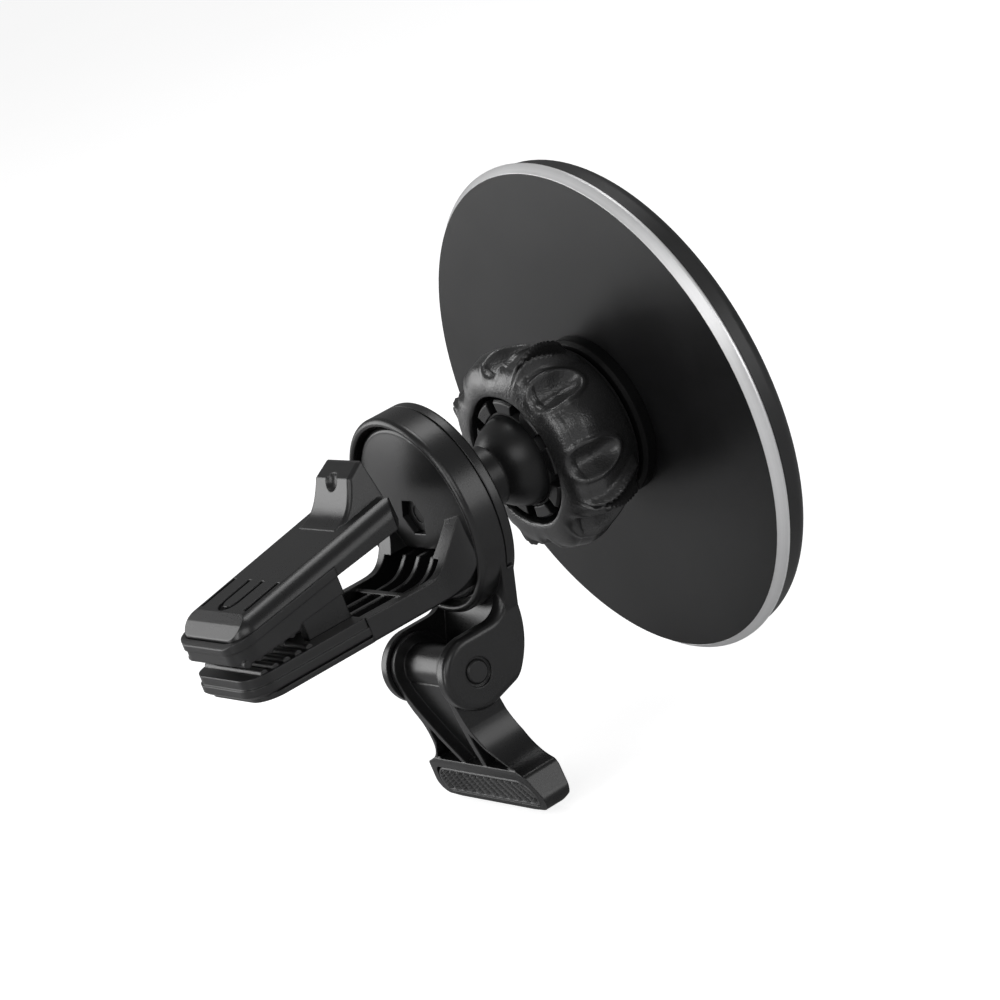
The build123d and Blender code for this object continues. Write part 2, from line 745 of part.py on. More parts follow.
def foot_leg():
    """Swing-out foot: a sunk web between two rails, and a pocket each side between rail and outer wall."""
    envelope = leg_outline()
    full = envelope & side_prism(leg_side_face(0), FOOT_HALF + 1)
    body = envelope & side_prism(leg_side_face(WEB_SINK), FOOT_HALF + 1)
    for prism in rail_prism():
        body += full & prism
    for s in (-1, 1):
        shift = Pos(-s * WALL_W, 0, -EDGE) * envelope
        wall = (full - shift) & block(
            (min(0, s * FAR), max(0, s * FAR)),
            (FAR, BEYOND),
            (FOOT_TOP_Z - 1, WALL_TOP_Z),
        )
        body += wall
        window = Plane.XZ * outline(
            (s * WINDOW_TOP_X, WINDOW_TOP_Z),
            (s * WINDOW_MID_X, WINDOW_MID_Z),
            (s * WINDOW_LOW_X, WINDOW_LOW_Z),
            (s * (RAIL_FOOT_X + RAIL_W + EDGE), WINDOW_LOW_Z),
        )
        body -= Pos(0, BEYOND, 0) * extrude(window, BEYOND - WINDOW_FLOOR_Y)
    body -= rod_x(PIN_R + RUNNING, -LEG_HALF - 1, LEG_HALF + 1, PIN_Y, PIN_Z)
    return body - foot_pad_bar(HAIR, 2)


def foot_pad_bar(grow, outward):
    """Bar of the foot's pad, a trapezoid with round corners, grown all round for its recess."""
    high, low = FOOT_PAD_TOP_HALF + grow, FOOT_PAD_HALF + grow
    tall = FOOT_PAD_H / 2 + grow
    face = Polygon((-high, -tall), (high, -tall), (low, tall), (-low, tall), align=None)
    face = fillet(face.vertices(), FOOT_PAD_CORNER + grow)
    bar = extrude(face, FOOT_PAD_T / 2 + outward) + extrude(face, -FOOT_PAD_T / 2 - grow)
    return Pos(0, FOOT_PAD_Y, FOOT_PAD_Z) * Rot(-90 - FOOT_PAD_LEAN, 0, 0) * bar


def foot_pad():
    """Rubber pad of the foot."""
    return foot_pad_bar(0, 0)


# ------------------------------------------------------------------ clip base


def arm_side_face(drop, end_y, bottom):
    """Side view of the arm under its C-shaped top, which is lowered by a drop for the ribs."""
    crown = (DOME_Y - CROWN_BACK - drop, ARM_CROWN_Z)
    curve = Spline(
        crown,
        (CROWN_DIP_Y - drop, CROWN_DIP_Z - drop / 2),
        (CROWN_SAG_Y - drop / 2, CROWN_SAG_Z - drop),
        (CROWN_END_Y, ARM_TOP_Z - drop),
        tangents=[(LAND, -1), (1, 0)],
    )
    back = Polyline((DISC_REAR_Y + 0.5, bottom), (DISC_REAR_Y + 0.5, ARM_CROWN_Z), crown)
    close = Polyline(curve @ 1, (end_y, ARM_TOP_Z - drop + OVERLAP), (end_y, bottom), back @ 0)
    return make_face([back, curve, close])


def arm_plan():
    """Top view of the arm's root, flared where it meets the disc, as a tall prism."""
    a = (ARM_FLARE_HALF, DISC_REAR_Y)
    b = (ARM_FLARE_HALF, DOME_Y - FLARE_BACK)
    c = (ARM_HALF + FLARE_BULGE, DOME_Y + FLARE_AHEAD)
    d = (ARM_HALF, ARM_FLARE_END_Y)
    right = Polyline((0, DISC_REAR_Y), a, b)
    flare = ThreePointArc(b, c, d)
    end = Polyline(d, (ARM_HALF, PAD_SEAM_Y), (0, PAD_SEAM_Y), (0, DISC_REAR_Y))
    half = extrude(make_face([right, flare, end]), TALL)
    half = Pos(0, 0, ARM_BOTTOM_Z) * half
    return half + mirror(half, Plane.YZ)


def low_jaw_plan(half, tip_y, corner, low_z, high_z):
    """Top view of a jaw's front end with rounded tip corners, as a prism."""
    length = tip_y - PAD_SEAM_Y
    face = Rectangle(2 * half, length)
    face = fillet(face.vertices().group_by(Axis.Y)[-1], corner)
    return Pos(0, PAD_SEAM_Y + length / 2, low_z) * extrude(face, high_z - low_z)


def clip_disc():
    """Domed disc inside the foot ring, with the hub it turns on."""
    rear = Polyline(
        (0, CAP_FRONT_Y),
        (HUB_R, CAP_FRONT_Y),
        (HUB_R, DISC_REAR_Y),
        (DISC_R, DISC_REAR_Y),
        (DISC_R, DISC_EDGE_Y - 0.5),
    )
    edge = ThreePointArc(rear @ 1, (DISC_R - DISC_NIP, DISC_EDGE_Y - NIP), (DISC_R - LAND, DISC_EDGE_Y))
    dome = ThreePointArc(edge @ 1, (DISC_R / 2, DOME_Y - DISC_SAG), (0, DOME_Y))
    return revolve(make_face([rear, edge, dome, Line(dome @ 1, rear @ 0)]), Axis.Y)


def lug(side):
    """One of the two pivot plates that stand on the lower arm."""
    x = (LUG_IN, LUG_OUT) if side > 0 else (-LUG_OUT, -LUG_IN)
    post = block(x, (PAD_SEAM_Y + OVERLAP, LUG_FRONT_Y), (ARM_FLOOR_Z, LUG_SHOULDER_Z))
    cheek = Plane.YZ * outline(
        (PAD_SEAM_Y + OVERLAP, LUG_SHOULDER_Z),
        (LUG_FRONT_Y, LUG_SHOULDER_Z),
        (PIVOT_Y + LUG_R, PIVOT_Z),
        (PIVOT_Y - LUG_R, PIVOT_Z),
    )
    return post + Pos(x[0], 0, 0) * extrude(cheek, x[1] - x[0]) + rod_x(LUG_R, x[0], x[1], PIVOT_Y, PIVOT_Z)


def arm_ribs():
    """Long ribs in the arm's channel and the cross rib in front of them."""
    face = arm_side_face(RIB_DROP, PAD_SEAM_Y + OVERLAP, ARM_FLOOR_Z - OVERLAP)
    low = block((-ARM_HALF, ARM_HALF), (DISC_REAR_Y, PAD_SEAM_Y + 1), (ARM_BOTTOM_Z, RECESS_TOP_Z - EDGE))
    ribs = [Pos(i * RIB_PITCH, 0, 0) * side_prism(face, RIB_W / 2) & low for i in (-1, 0, 1)]
    reach = ARM_HALF - ARM_WALL
    cross = block(
        (-reach, reach),
        (CROSS_RIB_Y - EASE, CROSS_RIB_Y + EASE),
        (ARM_FLOOR_Z - OVERLAP, CROSS_RIB_TOP_Z),
    )
    return ribs, cross


def channel_cut():
    """Hollow between the arm's side walls, above its floor."""
    start = Polyline((CHANNEL_REAR_Y, RECESS_TOP_Z), (CHANNEL_REAR_Y, CHANNEL_STEP_Z))
    bend = ThreePointArc(start @ 1, (CHANNEL_BEND_Y, CHANNEL_BEND_Z), (CHANNEL_FLOOR_Y, ARM_FLOOR_Z))
    close = Polyline(
        bend @ 1,
        (PAD_SEAM_Y - HAIR, ARM_FLOOR_Z),
        (PAD_SEAM_Y - HAIR, 2),
        (CHANNEL_OPEN_Y, 2),
        (CHANNEL_OPEN_Y, RECESS_TOP_Z),
        (CHANNEL_REAR_Y, RECESS_TOP_Z),
    )
    return side_prism(make_face([start, bend, close]), ARM_HALF - ARM_WALL)


def crown_gap():
    """Opening between the two C-shaped walls above the channel, where the dome stays bare."""
    face = outline(
        (-CROWN_LOW_HALF, RECESS_TOP_Z),
        (CROWN_LOW_HALF, RECESS_TOP_Z),
        (CROWN_TOP_HALF, ARM_CROWN_Z),
        (CROWN_TOP_HALF, ARM_CROWN_Z + 1),
        (-CROWN_TOP_HALF, ARM_CROWN_Z + 1),
        (-CROWN_TOP_HALF, ARM_CROWN_Z),
    )
    return Pos(0, PAD_SEAM_Y, 0) * extrude(Plane.XZ * face, PAD_SEAM_Y - DISC_REAR_Y)


def clip_base():
    """Disc, lower arm and lugs: the fixed half of the clip."""
    arm = arm_plan() & side_prism(arm_side_face(0, PAD_SEAM_Y, ARM_BOTTOM_Z), ARM_FLARE_HALF + 1)
    arm &= rod_y(DISC_R, DISC_REAR_Y, PAD_SEAM_Y + 1)
    arm -= crown_gap()
    body = clip_disc() + arm - channel_cut()
    ribs, cross = arm_ribs()
    inside = side_prism(arm_side_face(0, PAD_SEAM_Y, ARM_BOTTOM_Z), ARM_HALF)
    for rib in ribs:
        body += rib & inside
    body += cross
    body += low_jaw_plan(
        ARM_HALF - NIP,
        LOW_TIP_Y - 0.9,
        TIP_CORNER_R - BREAK,
        ARM_BOTTOM_Z,
        LOW_PAD_BOTTOM_Z - SNUG,
    )
    body += low_jaw_plan(
        ARM_HALF - PAD_T - SNUG,
        LOW_TIP_Y - PAD_T - SNUG,
        TIP_CORNER_R - PAD_T,
        LOW_PAD_BOTTOM_Z - OVERLAP,
        LOW_PAD_TOP_Z - PAD_T - SNUG,
    )
    for s in (-1, 1):
        body += lug(s)
    body -= rod_x(PIVOT_PIN_R + SNUG, -LUG_OUT - 1, LUG_OUT + 1, PIVOT_Y, PIVOT_Z)
    body -= hex_prism(NUT_AF, NUT_POCKET_Y, DOME_Y + 1)
    return body - rod_y(SHANK_R + SNUG, CAP_FRONT_Y - 1, NUT_POCKET_Y + 1)


def lower_jaw_pad():
    """Rubber cover of the lower jaw, with ridges across its grip."""
    pad = low_jaw_plan(ARM_HALF, LOW_TIP_Y, TIP_CORNER_R, LOW_PAD_BOTTOM_Z, BAND_Z)
    pad = chamfer(pad.edges().group_by(Axis.Z)[0], BAND_CHAMFER)
    pad += low_jaw_plan(
        ARM_HALF - BAND_STEP,
        LOW_TIP_Y - BAND_STEP,
        TIP_CORNER_R - BAND_STEP,
        BAND_Z,
        LOW_PAD_TOP_Z,
    )
    pad = Pos(0, FILM, 0) * pad
    core = low_jaw_plan(
        ARM_HALF - PAD_T,
        LOW_TIP_Y - PAD_T,
        TIP_CORNER_R - PAD_T,
        LOW_PAD_BOTTOM_Z - 1,
        LOW_PAD_TOP_Z - PAD_T,
    )
    window = block(
        (-LUG_OUT - BREAK, LUG_OUT + BREAK),
        (PAD_SEAM_Y - 1, LUG_FRONT_Y + BREAK),
        (LOW_PAD_TOP_Z - 2, LOW_PAD_TOP_Z + 1),
    )
    pad = pad - core - window
    for i in range(GRIP_RIDGE_COUNT):
        y = GRIP_RIDGE_START_Y + i * GRIP_RIDGE_PITCH
        pad += rod_x(GRIP_RIDGE_R, -ARM_HALF + LAND, ARM_HALF - LAND, y, LOW_PAD_TOP_Z)
    return pad - core


def jaw_pivot_pin():
    """Pin through the lugs and the upper jaw's bosses."""
    return rod_x(PIVOT_PIN_R, -PIVOT_PIN_HALF, PIVOT_PIN_HALF, PIVOT_Y, PIVOT_Z)


def jaw_spring():
    """Torsion spring round the pivot pin, between the lugs."""
    height = SPRING_TURNS * SPRING_PITCH
    path = Helix(SPRING_PITCH, height, SPRING_COIL_R)
    section = Plane(origin=path @ 0, z_dir=path % 0) * Circle(SPRING_WIRE_R)
    coil = sweep(section, path=path, is_frenet=True)
    coil = Rot(0, 90, 0) * Pos(0, 0, -height / 2) * coil
    return Pos(0, PIVOT_Y, PIVOT_Z) * coil


# ------------------------------------------------------------------ upper jaw


def jaw_top_z(y):
    """Height of the upper jaw's sloping top face."""
    return JAW_TOP_REF_Z + JAW_SLOPE * (y - JAW_TOP_REF_Y)


def jaw_plan(half, rear_y, tip_y, corner, rear_cut):
    """Top view of the upper jaw, as a tall prism: rounded tip, bevelled rear corners."""
    length = tip_y - rear_y
    face = Rectangle(2 * half, length)
    face = fillet(face.vertices().group_by(Axis.Y)[-1], corner)
    if rear_cut:
        face = chamfer(face.vertices().group_by(Axis.Y)[0], rear_cut, rear_cut * REAR_CUT_RATIO)
    return Pos(0, rear_y + length / 2, -8) * extrude(face, FAR)


def jaw_side_face():
    """Side view of the hard casing of the upper jaw, with its thumb tab."""
    return outline(
        (JAW_REAR_Y + 0.5, jaw_top_z(JAW_REAR_Y + 0.5) - NIP),
        (JAW_REAR_Y, JAW_HEEL_Z),
        (JAW_REAR_Y + JAW_HEEL_STEP, JAW_HEEL_LOW_Z),
        (BOOT_REAR_Y, 0.5),
        (BOOT_REAR_Y, BOOT_REAR_BOTTOM_Z + BOOT_INSET),
        (BOOT_TIP_Y - BOOT_INSET - BREAK, BOOT_TIP_BOTTOM_Z + BOOT_INSET),
        (BOOT_TIP_Y - BOOT_INSET, BOOT_TIP_TOP_Z),
        JAW_TIP,
        JAW_TIP_BREAK,
        (JAW_TIP_TOP_Y, jaw_top_z(JAW_TIP_TOP_Y)),
    )


def shoulder_bar():
    """Long bar along the sloping top, with rounded shoulders and a rounded front end."""
    length = 2 * (JAW_BAR_FRONT_Y - PIVOT_Y)
    bar = Box(2 * JAW_HALF, length, BAR_DEPTH)
    posts = bar.edges().filter_by(Axis.Z).group_by(Axis.Y)[-1]
    bar = fillet(posts, TIP_CORNER_R - CHAMFER)
    bar = fillet(bar.edges().group_by(Axis.Z)[-1], JAW_SHOULDER_R)
    return Pos(0, PIVOT_Y, jaw_top_z(PIVOT_Y)) * Rot(JAW_TILT, 0, 0) * Pos(0, 0, -BAR_DEPTH / 2) * bar


def seam_cut():
    """Everything below the boot's upper seam and in front of its rear edge."""
    return side_prism(
        outline(
            (BOOT_REAR_Y, BOOT_SEAM_REAR_Z),
            (JAW_TIP[0] + 2, JAW_TIP[1] - EASE),
            (JAW_TIP[0] + 2, -JAW_CLEAR),
            (BOOT_REAR_Y, -JAW_CLEAR),
        ),
        JAW_HALF + 1,
    )


def thumb_tab():
    """Raised tab at the rear of the jaw, hollowed for the thumb."""
    back = Polyline(
        (TAB_BACK_Y, TAB_BASE_Z),
        (TAB_CREST_BACK_Y, TAB_TOP_Z),
        (TAB_CREST_Y, TAB_TOP_Z),
        (TAB_FACE_Y, TAB_FACE_Z),
    )
    end = (TAB_FOOT_Y, jaw_top_z(TAB_FOOT_Y) - SNUG)
    front = Spline(back @ 1, (TAB_CURVE_Y, TAB_CURVE_Z), end, tangents=[(TAB_FACE_RUN, -1), (1, JAW_SLOPE)])
    foot = Polyline(end, (TAB_FOOT_Y, TAB_BASE_Z), (TAB_BACK_Y, TAB_BASE_Z))
    side = make_face([back, front, foot])
    face = Plane.XZ * outline(
        (-TAB_BASE_HALF, 3),
        (TAB_BASE_HALF, 3),
        (TAB_HALF, TAB_TOP_Z),
        (-TAB_HALF, TAB_TOP_Z),
    )
    tab = side_prism(side, TAB_BASE_HALF) & Pos(0, BEYOND, 0) * extrude(face, TALL)
    high = tab.edges().filter_by(lambda e: e.center().Z > TAB_ROUND_FROM_Z and e.center().Y > TAB_ROUND_FROM_Y)
    flanks = [e for e in high if abs(e.center().X) > TAB_HALF - OVERLAP]
    tab = fillet(flanks, TAB_ROUND)
    dimple = Pos(0, DIMPLE_Y, DIMPLE_Z) * Sphere(DIMPLE_R)
    return tab - dimple


def top_slots():
    """Two straight slots and one U-shaped groove in the jaw's top."""
    long = SLOT_FRONT_Y - SLOT_REAR_Y
    mid_y = (SLOT_FRONT_Y + SLOT_REAR_Y) / 2
    bar = Box(SLOT_WIDTH, long, 2 * SLOT_DEPTH)
    cuts = [Pos(s * SLOT_HALF_X, 0, 0) * bar for s in (-1, 1)]
    leg = Pos(0, -U_HALF_X / 2, 0) * Box(SLOT_WIDTH, long - U_HALF_X, 2 * SLOT_DEPTH)
    cuts += [Pos(s * U_HALF_X, 0, 0) * leg for s in (-1, 1)]
    bend = Cylinder(
        U_HALF_X + SLOT_WIDTH / 2,
        2 * SLOT_DEPTH,
    ) - Cylinder(U_HALF_X - SLOT_WIDTH / 2, 2 * SLOT_DEPTH)
    bend &= Pos(0, 2, 0) * Box(8, 4, 4)
    cuts.append(Pos(0, long / 2 - U_HALF_X, 0) * bend)
    return [Pos(0, mid_y, jaw_top_z(mid_y)) * Rot(JAW_TILT, 0, 0) * c for c in cuts]


def jaw_hollow():
    """Space inside the upper jaw for the lugs and the spring."""
    return side_prism(
        outline(
            (HOLLOW_REAR_Y, 0),
            (HOLLOW_REAR_Y, HOLLOW_REAR_Z),
            (HOLLOW_MID_Y, HOLLOW_MID_Z),
            (HOLLOW_FRONT_Y, HOLLOW_FRONT_Z),
            (HOLLOW_FRONT_Y, HOLLOW_LOW_Z),
            (BOOT_REAR_Y - 2, HOLLOW_LOW_Z),
        ),
        LUG_OUT + EASE,
    )


def upper_jaw():
    """Hard casing of the upper jaw: the moving lever of the clip."""
    shell = side_prism(jaw_side_face(), JAW_HALF) & jaw_plan(
        JAW_HALF,
        JAW_REAR_Y,
        JAW_TIP[0],
        TIP_CORNER_R - CHAMFER,
        JAW_REAR_CUT,
    )
    shell &= shoulder_bar()
    core = jaw_plan(
        JAW_HALF - BOOT_INSET - SNUG,
        JAW_REAR_Y,
        BOOT_TIP_Y - BOOT_INSET - SNUG,
        TIP_CORNER_R - BOOT_INSET,
        0,
    )
    shell = (shell - seam_cut()) + (shell & seam_cut() & core)
    shell += thumb_tab()
    shell -= jaw_hollow()
    shell -= top_slots()
    return shell - rod_x(
        PIVOT_PIN_R + RUNNING,
        -PIVOT_PIN_HALF - OVERLAP,
        PIVOT_PIN_HALF + OVERLAP,
        PIVOT_Y,
        PIVOT_Z,
    )


def upper_jaw_pad():
    """Rubber boot over the front of the upper jaw."""
    lead = SNUG
    outer_side = outline(
        (BOOT_REAR_Y + lead, BOOT_SEAM_REAR_Z - lead),
        (BOOT_REAR_Y + lead, BOOT_REAR_BOTTOM_Z),
        (BOOT_BEND_Y, BOOT_BEND_Z),
        (BITE_START_Y, BITE_START_Z),
        (BITE_END_Y, BOOT_TIP_BOTTOM_Z),
        (BOOT_TIP_Y - EDGE, BOOT_TIP_BOTTOM_Z + NIP),
        (BOOT_TIP_Y, BOOT_TIP_BOTTOM_Z + LAND),
        (BOOT_TIP_Y, BOOT_TIP_TOP_Z),
        (JAW_TIP[0] + HAIR, JAW_TIP[1] - FILM),
    )
    outer = side_prism(outer_side, JAW_HALF) & jaw_plan(JAW_HALF, BOOT_REAR_Y, BOOT_TIP_Y, TIP_CORNER_R, 0)
    step = BOOT_STEP
    slim = jaw_plan(JAW_HALF - step, BOOT_REAR_Y - 1, BOOT_TIP_Y - step, TIP_CORNER_R - step, 0)
    below = side_prism(
        outline(
            (BOOT_REAR_Y - 1, BOOT_SEAM_REAR_Z - BOOT_BAND),
            (BOOT_TIP_Y + 1, BOOT_TIP_TOP_Z - BOOT_BAND),
            (BOOT_TIP_Y + 1, BOOT_TIP_BOTTOM_Z - 1),
            (BOOT_REAR_Y - 1, BOOT_TIP_BOTTOM_Z - 1),
        ),
        JAW_HALF + 1,
    )
    outer = (outer - below) + (outer & below & slim)
    inner_plan = jaw_plan(
        JAW_HALF - BOOT_INSET,
        JAW_REAR_Y,
        BOOT_TIP_Y - BOOT_INSET,
        TIP_CORNER_R - BOOT_INSET,
        0,
    )
    inner_side = outline(
        (BOOT_REAR_Y - 1, JAW_CLEAR),
        (BOOT_REAR_Y - 1, BOOT_REAR_BOTTOM_Z + BOOT_INSET - SNUG),
        (BOOT_REAR_Y, BOOT_REAR_BOTTOM_Z + BOOT_INSET - SNUG),
        (BOOT_TIP_Y - BOOT_INSET - BREAK, BOOT_TIP_BOTTOM_Z + BOOT_INSET - SNUG),
        (BOOT_TIP_Y - BOOT_INSET + SNUG, BOOT_TIP_TOP_Z),
        (BOOT_TIP_Y - BOOT_INSET + SNUG, JAW_CLEAR),
    )
    pad = outer - (side_prism(inner_side, JAW_HALF) & inner_plan)
    for i in range(GRIP_RIDGE_COUNT):
        y = GRIP_RIDGE_START_Y + (i + RIDGE_OFFSET) * GRIP_RIDGE_PITCH
        z = BITE_START_Z + (y - BITE_START_Y) * (BOOT_TIP_BOTTOM_Z + 2.75) / (BITE_END_Y - BITE_START_Y)
        pad += rod_x(GRIP_RIDGE_R, -JAW_HALF + LAND, JAW_HALF - LAND, y, z + HAIR)
    window = block(
        (-LUG_OUT - EASE, LUG_OUT + EASE),
        (BOOT_REAR_Y - 1, HOLLOW_FRONT_Y),
        (-JAW_WINDOW_HALF, JAW_WINDOW_HALF),
    )
    pad -= window
    return pad - (side_prism(inner_side, JAW_HALF) & inner_plan)


def main():
    """Build every node about the drum axis, shift it to the grip origin and write it."""
    nodes = {
        "plate_back": plate_back,
        "trim_ring": trim_ring,
        "bezel": bezel,
        "grip_disc": grip_disc,
        "magnet_carrier": magnet_carrier,
        "ring_magnets": ring_magnets,
        "yoke_ring": yoke_ring,
        "ball_socket": ball_socket,
        "plate_screws": plate_screws,
        "ball_liner": ball_liner,
        "ball_seat": ball_seat,
        "clamp_ring": clamp_ring,
        "clamp_nut": clamp_nut,
        "ball_stud": ball_stud,
        "stud_screw": stud_screw,
        "drum_cap": drum_cap,
        "hex_nut": hex_nut,
        "friction_washer": friction_washer,
        "foot_bracket": foot_bracket,
        "foot_pin": foot_pin,
        "foot_leg": foot_leg,
        "foot_pad": foot_pad,
        "clip_base": clip_base,
        "lower_jaw_pad": lower_jaw_pad,
        "jaw_pivot_pin": jaw_pivot_pin,
        "jaw_spring": jaw_spring,
        "upper_jaw": upper_jaw,
        "upper_jaw_pad": upper_jaw_pad,
    }
    os.makedirs("parts", exist_ok=True)
    for name, make in nodes.items():
        export_step(Pos(0, -GRIP_Y, -GRIP_Z) * make(), f"parts/{name}.step")


if __name__ == "__main__":
    main()
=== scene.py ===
"""Car phone mount: looks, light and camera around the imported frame. Metres, row frame."""

import json
import math

import bmesh
import bpy
import numpy as np
from mathutils import Matrix, Vector


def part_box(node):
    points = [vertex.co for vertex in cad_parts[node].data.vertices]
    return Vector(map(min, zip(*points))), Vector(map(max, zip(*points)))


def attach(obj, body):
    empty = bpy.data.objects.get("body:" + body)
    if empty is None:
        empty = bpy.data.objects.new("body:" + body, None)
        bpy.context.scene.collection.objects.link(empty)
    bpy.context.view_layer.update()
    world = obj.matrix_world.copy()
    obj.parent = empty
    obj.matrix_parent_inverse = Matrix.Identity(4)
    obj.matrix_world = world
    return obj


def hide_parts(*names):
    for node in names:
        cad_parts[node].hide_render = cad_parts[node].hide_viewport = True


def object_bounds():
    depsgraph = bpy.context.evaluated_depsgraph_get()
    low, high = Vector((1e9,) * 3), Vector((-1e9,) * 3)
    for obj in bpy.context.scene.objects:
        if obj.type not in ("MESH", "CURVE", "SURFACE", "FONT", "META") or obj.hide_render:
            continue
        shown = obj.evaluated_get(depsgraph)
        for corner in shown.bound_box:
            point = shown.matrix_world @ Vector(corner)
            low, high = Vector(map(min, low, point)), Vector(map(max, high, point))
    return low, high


MM = 0.001
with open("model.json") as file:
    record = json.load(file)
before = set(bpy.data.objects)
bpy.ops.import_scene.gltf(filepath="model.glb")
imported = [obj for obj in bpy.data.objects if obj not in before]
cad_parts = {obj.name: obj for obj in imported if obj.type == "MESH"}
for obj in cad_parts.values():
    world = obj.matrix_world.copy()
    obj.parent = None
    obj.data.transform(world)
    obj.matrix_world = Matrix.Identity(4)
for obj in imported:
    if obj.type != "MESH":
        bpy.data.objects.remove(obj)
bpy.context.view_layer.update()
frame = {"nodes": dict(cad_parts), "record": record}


# ---------------------------------------------------------------- materials
class Nodes:
    """A small helper that builds one material's node tree."""

    def __init__(self, name):
        self.material = bpy.data.materials.new(name)
        self.material.use_nodes = True
        self.tree = self.material.node_tree
        self.shader = self.tree.nodes["Principled BSDF"]
        self.coords = self.add("ShaderNodeTexCoord").outputs["Object"]

    def add(self, kind, **settings):
        node = self.tree.nodes.new(kind)
        for key, value in settings.items():
            setattr(node, key, value)
        return node

    def link(self, out, into):
        self.tree.links.new(out, into)

    def noise(self, size_mm, detail=3.0, rough=0.55, distort=0.0, coords=None):
        """Noise whose features are about size_mm wide."""
        node = self.add("ShaderNodeTexNoise")
        node.inputs["Scale"].default_value = 1.0 / (size_mm * MM)
        node.inputs["Detail"].default_value = detail
        node.inputs["Roughness"].default_value = rough
        node.inputs["Distortion"].default_value = distort
        self.link(coords or self.coords, node.inputs["Vector"])
        return node.outputs["Fac"]

    def ramp(self, value, low, high, from_low=0.3, from_high=0.7):
        """value mapped to low..high."""
        node = self.add("ShaderNodeMapRange")
        node.inputs["From Min"].default_value = from_low
        node.inputs["From Max"].default_value = from_high
        node.inputs["To Min"].default_value = low
        node.inputs["To Max"].default_value = high
        self.link(value, node.inputs["Value"])
        return node.outputs["Result"]

    def tint(self, value, dark, light):
        """A grey-scale colour between dark and light."""
        node = self.add("ShaderNodeMix", data_type="RGBA")
        node.inputs[6].default_value = (*dark, 1)
        node.inputs[7].default_value = (*light, 1)
        self.link(value, node.inputs[0])
        return node.outputs[2]

    def math(self, kind, a, b):
        node = self.add("ShaderNodeMath", operation=kind)
        for i, v in enumerate((a, b)):
            if isinstance(v, (int, float)):
                node.inputs[i].default_value = v
            else:
                self.link(v, node.inputs[i])
        return node.outputs[0]

    def bump(self, height, depth_mm, normal=None):
        node = self.add("ShaderNodeBump")
        node.inputs["Strength"].default_value = 1.0
        node.inputs["Distance"].default_value = depth_mm * MM
        self.link(height, node.inputs["Height"])
        if normal:
            self.link(normal, node.inputs["Normal"])
        return node.outputs["Normal"]

    def round_edges(self, radius_mm):
        node = self.add("ShaderNodeBevel", samples=6)
        node.inputs["Radius"].default_value = radius_mm * MM
        return node.outputs["Normal"]


def moulded(name, colour, rough, grain_mm=0.16, depth_mm=0.006, edge_mm=0.22, spread=0.05, shine=0.5):
    """Moulded plastic with a spark-eroded grain, faint flow marks and soft edges."""
    n = Nodes(name)
    flow = n.noise(9.0, 2.0, 0.5, 0.6)
    speck = n.noise(grain_mm, 4.0, 0.6)
    dark = tuple(c * 0.82 for c in colour)
    light = tuple(c * 1.2 for c in colour)
    n.link(n.tint(n.ramp(flow, 0, 1), dark, light), n.shader.inputs["Base Color"])
    both = n.math("ADD", n.ramp(flow, -spread / 2, spread / 2), n.ramp(speck, rough - spread, rough + spread))
    n.link(both, n.shader.inputs["Roughness"])
    n.link(n.bump(speck, depth_mm, n.round_edges(edge_mm)), n.shader.inputs["Normal"])
    n.shader.inputs["Specular IOR Level"].default_value = shine
    return n.material


def leather_grain(name, colour, rough):
    """Plastic with a fine wrinkled grain, as on the clamp nut."""
    n = Nodes(name)
    warp = n.noise(1.3, 2.0, 0.5)
    cells = n.add("ShaderNodeTexVoronoi", feature="DISTANCE_TO_EDGE")
    cells.inputs["Scale"].default_value = 1.0 / (0.34 * MM)
    shifted = n.add("ShaderNodeVectorMath", operation="MULTIPLY_ADD")
    n.link(n.coords, shifted.inputs[0])
    shifted.inputs[1].default_value = (1, 0.7, 1)
    spread = n.math("MULTIPLY", warp, 0.9 * MM)
    n.link(spread, shifted.inputs[2])
    n.link(shifted.outputs[0], cells.inputs["Vector"])
    fine = n.noise(0.12, 4.0, 0.6)
    crease_and_shade = n.ramp(cells.outputs["Distance"], 0, 1, 0.0, 0.25)
    height = n.math("ADD", crease_and_shade, n.math("MULTIPLY", fine, 0.5))
    # painted shade: the grain's creases take the darker colour, the rest the lighter
    dark = tuple(c * 0.86 for c in colour)
    light = tuple(c * 1.06 for c in colour)
    n.link(n.tint(crease_and_shade, dark, light), n.shader.inputs["Base Color"])
    n.link(n.ramp(fine, rough - 0.06, rough + 0.07), n.shader.inputs["Roughness"])
    n.link(n.bump(height, 0.012), n.shader.inputs["Normal"])
    n.shader.inputs["Specular IOR Level"].default_value = 1.0
    return n.material


def turned_metal(name, colour, rough, centre, pitch_mm=0.12, depth_mm=0.004, metal=1.0):
    """Bright metal turned on a lathe: fine rings round the Y axis through centre."""
    n = Nodes(name)
    parts = n.add("ShaderNodeSeparateXYZ")
    n.link(n.coords, parts.inputs[0])
    x = n.math("SUBTRACT", parts.outputs["X"], centre[0])
    z = n.math("SUBTRACT", parts.outputs["Z"], centre[2])
    radius = n.math("SQRT", n.math("ADD", n.math("MULTIPLY", x, x), n.math("MULTIPLY", z, z)), 0)
    line = n.add("ShaderNodeCombineXYZ")
    n.link(n.math("ADD", radius, parts.outputs["Y"]), line.inputs["X"])
    rings = n.noise(pitch_mm, 3.0, 0.7, coords=line.outputs[0])
    cloud = n.noise(3.0, 2.0)
    dark = tuple(c * 0.86 for c in colour)
    n.link(n.tint(n.ramp(rings, 0, 1), dark, colour), n.shader.inputs["Base Color"])
    both = n.math("ADD", n.ramp(rings, rough - 0.08, rough + 0.08), n.ramp(cloud, -0.03, 0.03))
    n.link(both, n.shader.inputs["Roughness"])
    n.link(n.bump(rings, depth_mm, n.round_edges(0.08)), n.shader.inputs["Normal"])
    n.shader.inputs["Metallic"].default_value = metal
    return n.material


